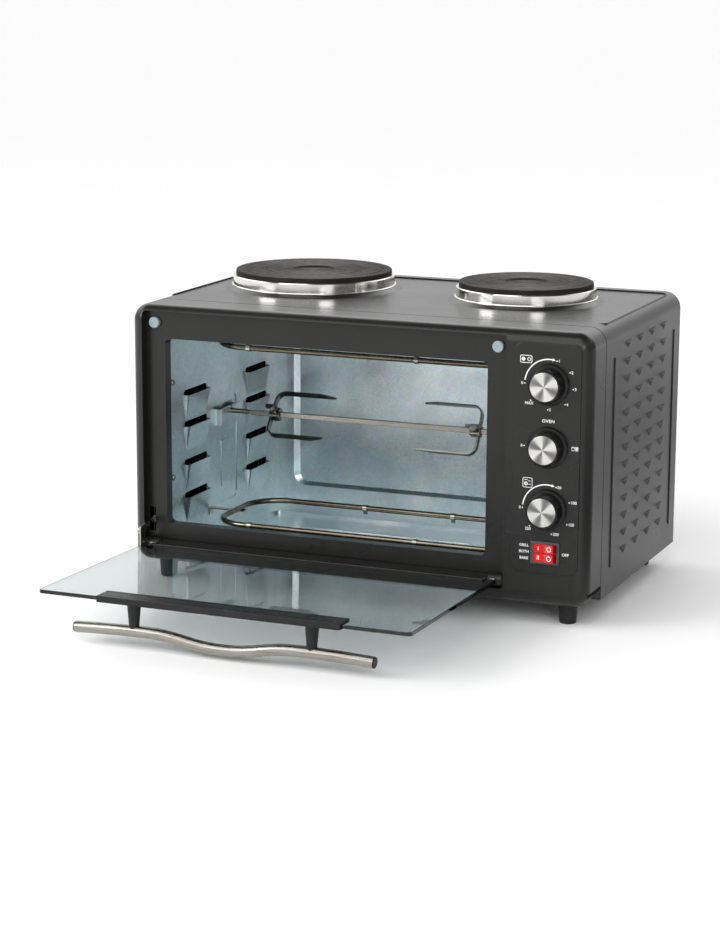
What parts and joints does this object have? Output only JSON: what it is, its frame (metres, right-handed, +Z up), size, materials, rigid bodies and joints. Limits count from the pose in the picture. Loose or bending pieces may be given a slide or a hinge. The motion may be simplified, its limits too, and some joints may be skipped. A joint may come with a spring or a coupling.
{
  "type": "rotisserie oven with two hotplates",
  "caption": "Bench-top oven with a drop-down glass door, a rotating spit with forks, side dials and rocker switches, and hotplates on top",
  "frame": {"origin": "Centre of the whole footprint with the door open, on the plane the feet stand on", "axes": "+X to the right seen from the front, -Y out of the front towards the user, +Z up; the open door reaches towards -Y"},
  "size_m": [0.5524, 0.617, 0.344],
  "materials": {
    "black_coat": "satin powder coat with a fine grain",
    "galvanised": "galvanised sheet, dull with a fine grain",
    "element_steel": "heat-tinted drawn tube",
    "bright_steel": "bright nickel plate",
    "ceramic": "unglazed ceramic",
    "silicone": "soft matt",
    "clear_glass": "polished tempered glass",
    "dark_plastic": "finely textured heat-resistant plastic",
    "knob_plastic": "semi-gloss",
    "red_plastic": "gloss, translucent",
    "brushed_steel": "brushed lengthways",
    "spun_aluminium": "spun in circles",
    "copper_tube": "drawn tube",
    "cast_plate": "turned, with a black heat-proof coat",
    "trim_steel": "polished stainless"
  },
  "bodies": {
    "oven_body": {"front_frame": "black_coat", "outer_shell": "black_coat", "rear_panel": "black_coat", "bottom_panel": "black_coat", "cavity_left_wall": "galvanised", "cavity_right_wall": "galvanised", "cavity_top": "galvanised", "cavity_floor": "galvanised", "cavity_back_wall": "galvanised", "upper_element": "element_steel", "lower_element": "element_steel", "element_clips": "bright_steel", "element_terminals": "ceramic", "spit_bracket": "galvanised", "gearmotor": "bright_steel", "door_bumpers": "silicone", "hotplate_regulator": "ceramic", "function_switch": "dark_plastic", "oven_thermostat": "ceramic", "thermostat_probe": "copper_tube", "rocker_housing": "knob_plastic", "hotplate_left": "cast_plate", "hotplate_right": "cast_plate", "trim_ring_left": "trim_steel", "trim_ring_right": "trim_steel", "hotplate_clamps": "bright_steel", "feet": "dark_plastic", "casing_screws": "bright_steel", "cable_gland": "dark_plastic", "terminal_block": "ceramic"},
    "door": {"door_glass": "clear_glass", "hinge_rail": "black_coat", "hinge_knuckles": "dark_plastic", "hinge_pins": "bright_steel", "handle_strip": "dark_plastic", "handle_posts": "dark_plastic", "handle_tube": "brushed_steel", "handle_end_caps": "dark_plastic", "handle_screws": "bright_steel", "stay_lug": "bright_steel"},
    "stay": {"stay_arm": "bright_steel"},
    "hotplate_dial": {"hotplate_knob": "knob_plastic", "hotplate_knob_face": "spun_aluminium", "hotplate_shaft": "bright_steel"},
    "function_dial": {"function_knob": "knob_plastic", "function_knob_face": "spun_aluminium", "function_shaft": "bright_steel"},
    "oven_dial": {"oven_knob": "knob_plastic", "oven_knob_face": "spun_aluminium", "oven_shaft": "bright_steel"},
    "grill_rocker": {"rocker_grill": "red_plastic"},
    "bake_rocker": {"rocker_bake": "red_plastic"},
    "spindle": {"spit": "bright_steel", "drive_socket": "bright_steel"},
    "left_fork": {"fork_left": "bright_steel"},
    "right_fork": {"fork_right": "bright_steel"},
    "left_clamp_screw": {"thumb_screw_left": "bright_steel"},
    "right_clamp_screw": {"thumb_screw_right": "bright_steel"}
  },
  "joints": [
    {"name": "door_hinge", "type": "hinge", "parent": "oven_body", "child": "door", "pos_m": [0, -0.04052, 0.0472], "axis": [-1, 0, 0], "range_deg": [0, 88.7]},
    {"name": "stay_rivet", "type": "hinge", "parent": "door", "child": "stay", "pos_m": [-0.25375, -0.06177, 0.06699], "axis": [-1, 0, 0], "range_deg": [-80, 0]},
    {"name": "hotplate_dial_turn", "type": "hinge", "parent": "oven_body", "child": "hotplate_dial", "pos_m": [0.2268, -0.06252, 0.2678], "axis": [0, 1, 0], "range_deg": [0, 300]},
    {"name": "function_dial_turn", "type": "hinge", "parent": "oven_body", "child": "function_dial", "pos_m": [0.2268, -0.06252, 0.1998], "axis": [0, 1, 0], "range_deg": [0, 180]},
    {"name": "oven_dial_turn", "type": "hinge", "parent": "oven_body", "child": "oven_dial", "pos_m": [0.2268, -0.06252, 0.1318], "axis": [0, 1, 0], "range_deg": [0, 300]},
    {"name": "grill_rocker_tilt", "type": "hinge", "parent": "oven_body", "child": "grill_rocker", "pos_m": [0.2262, -0.04252, 0.0889], "axis": [0, 0, 1], "range_deg": [0, 18]},
    {"name": "bake_rocker_tilt", "type": "hinge", "parent": "oven_body", "child": "bake_rocker", "pos_m": [0.2262, -0.04252, 0.0787], "axis": [0, 0, 1], "range_deg": [0, 18]},
    {"name": "spit_turn", "type": "hinge", "parent": "oven_body", "child": "spindle", "pos_m": [0, 0.12848, 0.1745], "axis": [1, 0, 0], "continuous": true},
    {"name": "left_fork_slide", "type": "slide", "parent": "spindle", "child": "left_fork", "axis": [1, 0, 0], "range_m": [-0.018, 0.05]},
    {"name": "right_fork_slide", "type": "slide", "parent": "spindle", "child": "right_fork", "axis": [-1, 0, 0], "range_m": [-0.04, 0.03]},
    {"name": "left_screw_turn", "type": "hinge", "parent": "left_fork", "child": "left_clamp_screw", "pos_m": [-0.17, 0.12848, 0.1745], "axis": [0, -0.7547, 0.6561], "range_deg": [0, 360]},
    {"name": "right_screw_turn", "type": "hinge", "parent": "right_fork", "child": "right_clamp_screw", "pos_m": [0.083, 0.12848, 0.1745], "axis": [0, -0.8829, 0.4695], "range_deg": [0, 360]}
  ],
  "couplings": [
    {"joint": "stay_rivet", "follows": "door_hinge", "ratio": -0.87599}
  ]
}
